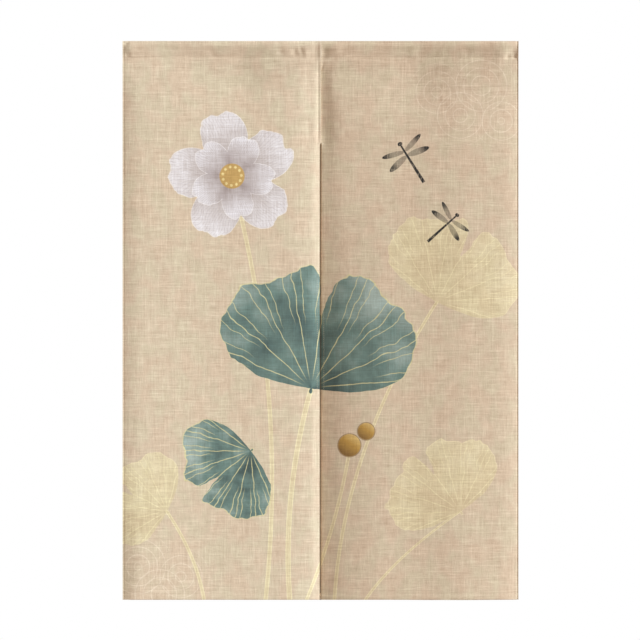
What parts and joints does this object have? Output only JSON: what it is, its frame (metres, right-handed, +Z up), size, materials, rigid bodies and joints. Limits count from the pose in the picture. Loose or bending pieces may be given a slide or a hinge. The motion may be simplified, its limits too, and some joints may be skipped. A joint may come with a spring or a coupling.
{
  "type": "noren curtain",
  "caption": "Split door curtain of slub linen-look cloth, with a rod sleeve along the top, narrow hems and a soft botanical print.",
  "frame": {"origin": "middle of the rod sleeve's top edge, where the two panels meet", "axes": "+Z up, out of the top edge; +X to the right across the curtain, seen from the front; the printed front faces -Y"},
  "size_m": [0.85, 0.0316, 1.2],
  "materials": {
    "cloth_left": "matt slub linen weave, warm beige, printed",
    "cloth_right": "matt slub linen weave, warm beige, printed"
  },
  "bodies": {
    "root": {"left_panel": "cloth_left", "right_panel": "cloth_right"}
  },
  "joints": []
}
